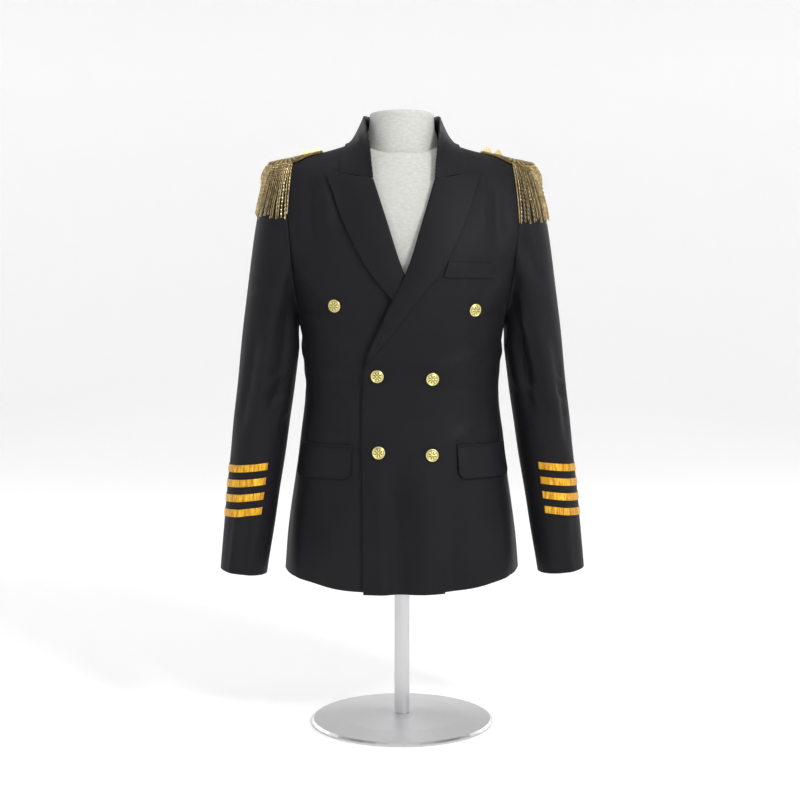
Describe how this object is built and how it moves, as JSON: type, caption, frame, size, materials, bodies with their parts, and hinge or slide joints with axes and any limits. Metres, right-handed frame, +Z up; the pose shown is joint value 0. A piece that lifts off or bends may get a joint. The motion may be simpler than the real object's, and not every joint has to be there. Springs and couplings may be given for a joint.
{
  "type": "pilot uniform jacket on a limbless dress form",
  "caption": "Double-breasted peak-lapel uniform jacket with gilt buttons, sleeve braid and fringed epaulettes, standing on a plain linen dress form.",
  "frame": {"origin": "centre of the stand's underside, on the floor", "axes": "+Z up, the jacket faces -Y, +X to the wearer's left"},
  "size_m": [0.588, 0.3, 0.9969],
  "materials": {
    "suiting": "matte near-black worsted suiting",
    "gold_braid": "woven golden-yellow rank braid with a ribbed sheen",
    "gilt_button": "pale gilt, domed, with an embossed centre",
    "gilt_board": "pressed gilt metal",
    "gilt_fringe": "fine gilt chain",
    "linen": "warm light-grey linen cover",
    "stand_metal": "brushed steel"
  },
  "bodies": {
    "root": {"form_torso": "linen", "form_pole": "stand_metal", "form_base": "stand_metal", "front_left": "suiting", "front_right": "suiting", "side_left": "suiting", "side_right": "suiting", "back_left": "suiting", "back_right": "suiting", "lapel_left": "suiting", "lapel_right": "suiting", "upper_sleeve_left": "suiting", "upper_sleeve_right": "suiting", "under_sleeve_left": "suiting", "under_sleeve_right": "suiting", "pocket_flap_left": "suiting", "pocket_flap_right": "suiting", "collar": "suiting", "chest_welt": "suiting", "button_chest_left": "gilt_button", "button_waist_left": "gilt_button", "button_hip_left": "gilt_button", "button_chest_right": "gilt_button", "button_waist_right": "gilt_button", "button_hip_right": "gilt_button", "stripe_left_1": "gold_braid", "stripe_left_2": "gold_braid", "stripe_left_3": "gold_braid", "stripe_left_4": "gold_braid", "stripe_right_1": "gold_braid", "stripe_right_2": "gold_braid", "stripe_right_3": "gold_braid", "stripe_right_4": "gold_braid", "epaulette_board_left": "gilt_board", "epaulette_fringe_left": "gilt_fringe", "epaulette_stud_left_1": "gilt_board", "epaulette_stud_left_2": "gilt_board", "epaulette_board_right": "gilt_board", "epaulette_fringe_right": "gilt_fringe", "epaulette_stud_right_1": "gilt_board", "epaulette_stud_right_2": "gilt_board"}
  },
  "joints": []
}
